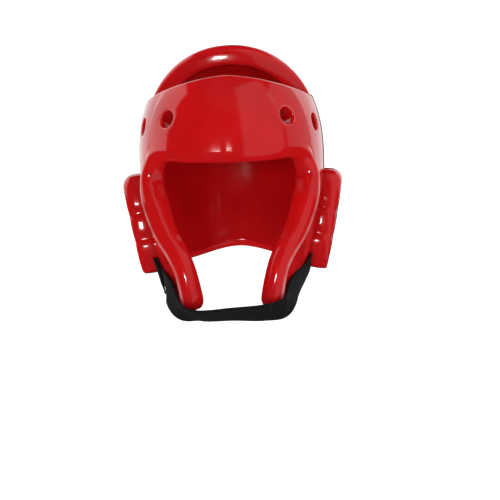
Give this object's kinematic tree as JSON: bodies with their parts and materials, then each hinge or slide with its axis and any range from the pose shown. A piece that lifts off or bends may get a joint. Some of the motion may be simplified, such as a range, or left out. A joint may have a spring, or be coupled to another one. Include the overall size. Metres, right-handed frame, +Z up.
{
  "type": "taekwondo headgear",
  "caption": "Padded foam headgear with brow, cheek, ear and crown guards, an open face, vents and a webbing chin strap.",
  "frame": {"origin": "where the top of a head touches the inside of the crown guard", "axes": "+Z up, the face looks along -Y, and the wearer's left is +X"},
  "size_m": [0.2114, 0.2279, 0.2669],
  "materials": {
    "dipped_foam": "glossy red vinyl skin dipped over closed-cell foam",
    "webbing": "matte black elastic webbing with a hook-and-loop end"
  },
  "bodies": {
    "root": {"front_guard": "dipped_foam", "crown_guard": "dipped_foam", "ear_pad_left": "dipped_foam", "ear_pad_right": "dipped_foam", "chin_strap": "webbing", "strap_tab": "webbing"}
  },
  "joints": []
}
